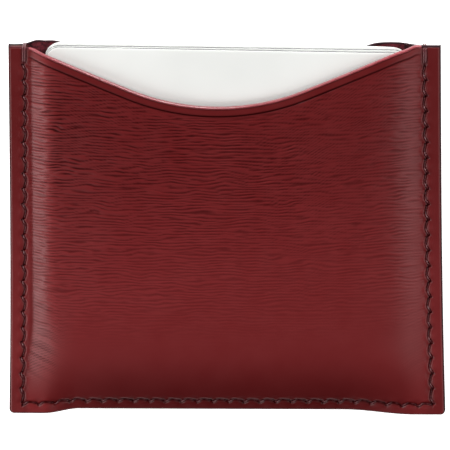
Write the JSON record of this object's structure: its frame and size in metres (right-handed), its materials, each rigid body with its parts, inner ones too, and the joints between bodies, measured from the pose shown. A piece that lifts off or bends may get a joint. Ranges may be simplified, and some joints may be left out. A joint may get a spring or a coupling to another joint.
{
  "type": "card holder",
  "caption": "Slip-in card holder of two stitched leather panels with a curved thumb throat, holding a stack of blank cards that slide out of its mouth.",
  "frame": {"origin": "centre of the flat back face that the holder lies on, midway between its side edges and between its mouth and its bottom corners", "axes": "+Z out of the front panel, +Y out of the mouth, +X to the right as seen from the front"},
  "size_m": [0.0968, 0.0856, 0.0075],
  "materials": {
    "front_leather": "semi-gloss, boarded into fine ridges",
    "back_leather": "semi-gloss, boarded into fine ridges",
    "cement": "dried contact cement",
    "edge_paint": "domed glossy edge paint",
    "thread": "waxed twisted thread",
    "card": "laminated gloss"
  },
  "bodies": {
    "holder": {"front_panel": "front_leather", "back_panel": "back_leather", "seam_cement": "cement", "seam_edge_coat": "edge_paint", "front_throat_coat": "edge_paint", "back_throat_coat": "edge_paint", "needle_thread": "thread", "bobbin_thread": "thread", "left_mouth_tack": "thread", "right_mouth_tack": "thread"},
    "first_card": {"card_1": "card"},
    "second_card": {"card_2": "card"},
    "third_card": {"card_3": "card"},
    "fourth_card": {"card_4": "card"}
  },
  "joints": [
    {"name": "card_1_slide", "type": "slide", "parent": "holder", "child": "first_card", "axis": [0, 1, 0], "range_m": [0, 0.08]},
    {"name": "card_2_slide", "type": "slide", "parent": "holder", "child": "second_card", "axis": [0, 1, 0], "range_m": [0, 0.08]},
    {"name": "card_3_slide", "type": "slide", "parent": "holder", "child": "third_card", "axis": [0, 1, 0], "range_m": [0, 0.08]},
    {"name": "card_4_slide", "type": "slide", "parent": "holder", "child": "fourth_card", "axis": [0, 1, 0], "range_m": [0, 0.08]}
  ]
}
